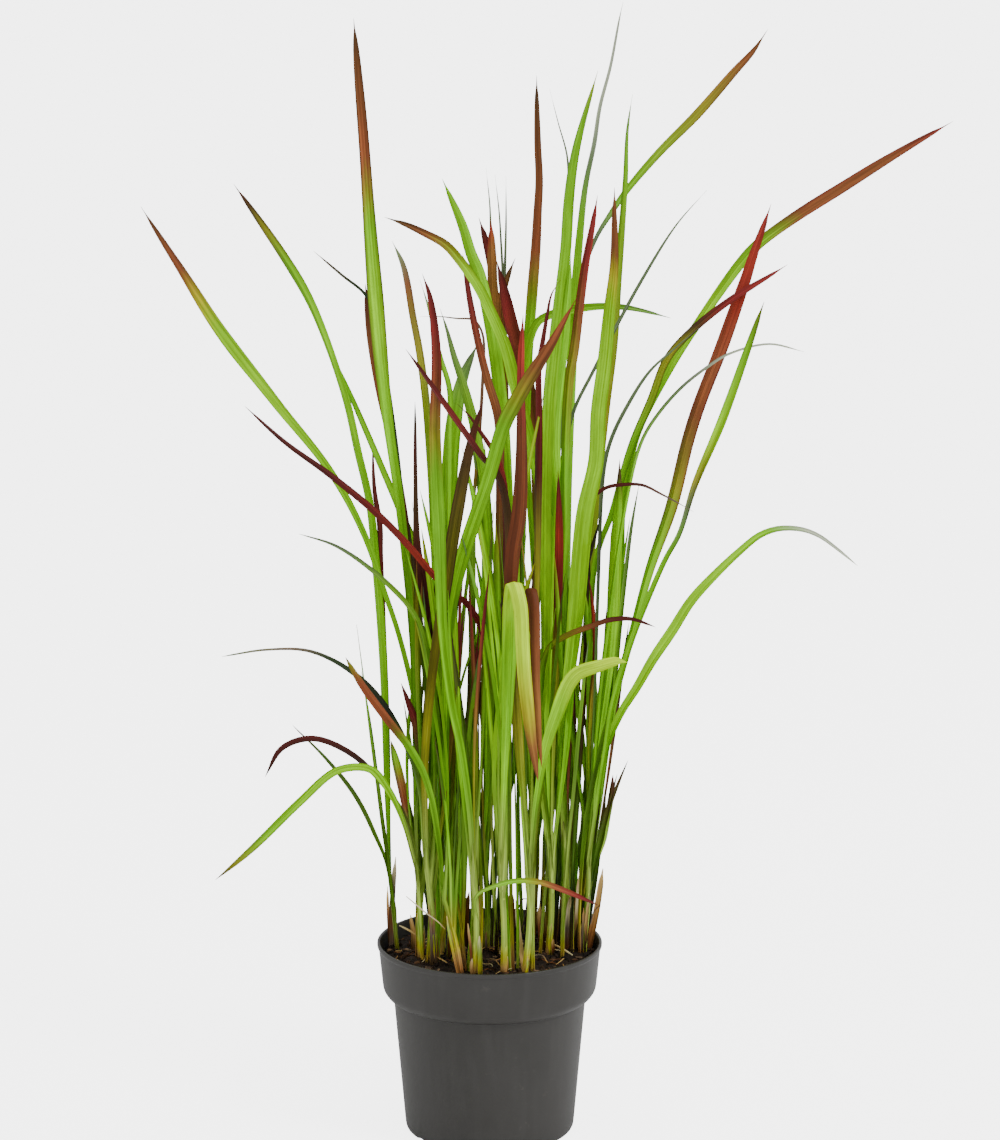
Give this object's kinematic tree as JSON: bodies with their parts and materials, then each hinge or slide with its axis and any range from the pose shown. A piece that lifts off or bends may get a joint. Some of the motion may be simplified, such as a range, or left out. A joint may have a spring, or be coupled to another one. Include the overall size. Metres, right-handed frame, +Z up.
{
  "type": "potted ornamental grass clump",
  "caption": "Clump of tall upright and arching grass blades, green with crimson and brown tips, growing in a dark round moulded nursery pot.",
  "frame": {"origin": "centre of the pot's flat underside", "axes": "+Z up along the pot's axis, -Y towards the side of the clump that the folded blade hangs on, +X towards the longest arching blade"},
  "size_m": [0.4654, 0.1954, 0.6461],
  "materials": {
    "pot_plastic": "smooth moulded, faint sheen, slightly scuffed",
    "potting_soil": "loose dark peat and bark compost, matte",
    "stalk_green": "pale yellow-green leaf sheaths, soft sheen",
    "stalk_dark": "darker green leaf sheaths, soft sheen",
    "stalk_dry": "dry brown leaf sheath, matte",
    "blade_lime": "bright yellow-green blade, fine parallel veins, soft sheen",
    "blade_green": "mid green blade with a reddish tip, fine parallel veins",
    "blade_dark_green": "shaded dark green blade, fine parallel veins",
    "blade_olive": "olive blade turning red-brown at the tip",
    "blade_brown": "russet brown blade with a green foot",
    "blade_crimson": "crimson blade with a green foot, soft sheen",
    "blade_maroon": "dark maroon blade with a green foot"
  },
  "bodies": {
    "root": {"pot": "pot_plastic", "soil": "potting_soil", "shoot_01": "stalk_dry", "shoot_02": "stalk_green", "shoot_03": "stalk_green", "shoot_04": "stalk_green", "shoot_05": "stalk_dark", "shoot_06": "stalk_green", "shoot_07": "stalk_dark", "shoot_08": "stalk_dark", "shoot_09": "stalk_green", "shoot_10": "stalk_green", "shoot_11": "stalk_green", "shoot_12": "stalk_green", "shoot_13": "stalk_green", "shoot_14": "stalk_green", "shoot_15": "stalk_dark", "shoot_16": "stalk_dark", "shoot_17": "stalk_dark", "shoot_18": "stalk_dark", "leaf_olive_left": "blade_olive", "leaf_low_left": "blade_dark_green", "leaf_lime_arch_left": "blade_lime", "leaf_tall_left": "blade_green", "leaf_purple_arch_left": "blade_maroon", "leaf_dark_brown": "blade_brown", "leaf_dark_arch_left": "blade_dark_green", "leaf_outer_left": "blade_olive", "leaf_maroon_left": "blade_maroon", "leaf_diagonal_front": "blade_green", "leaf_olive_arch_left": "blade_olive", "leaf_broad_left": "blade_green", "leaf_short_red_left": "blade_crimson", "leaf_short_orange_left": "blade_brown", "leaf_crimson_arch_left": "blade_crimson", "leaf_crimson_inner_left": "blade_crimson", "leaf_bowed_green": "blade_dark_green", "leaf_olive_tip_left": "blade_olive", "leaf_folded_centre": "blade_lime", "leaf_crimson_diagonal": "blade_crimson", "leaf_bent_lime": "blade_lime", "leaf_crimson_centre": "blade_crimson", "leaf_purple_tip_low": "blade_green", "leaf_lime_centre_right": "blade_lime", "leaf_broad_right": "blade_lime", "leaf_crimson_edged": "blade_green", "leaf_green_right": "blade_green", "leaf_purple_right": "blade_maroon", "leaf_thin_arch_right": "blade_green", "leaf_red_right": "blade_crimson", "leaf_outer_right": "blade_green", "leaf_arching_right": "blade_lime", "leaf_lime_upper": "blade_lime", "leaf_tall_centre": "blade_green", "leaf_russet_centre": "blade_brown", "leaf_level_right": "blade_green", "leaf_thin_reaching": "blade_olive", "leaf_broad_upper": "blade_green", "leaf_tall_right": "blade_dark_green"}
  },
  "joints": []
}
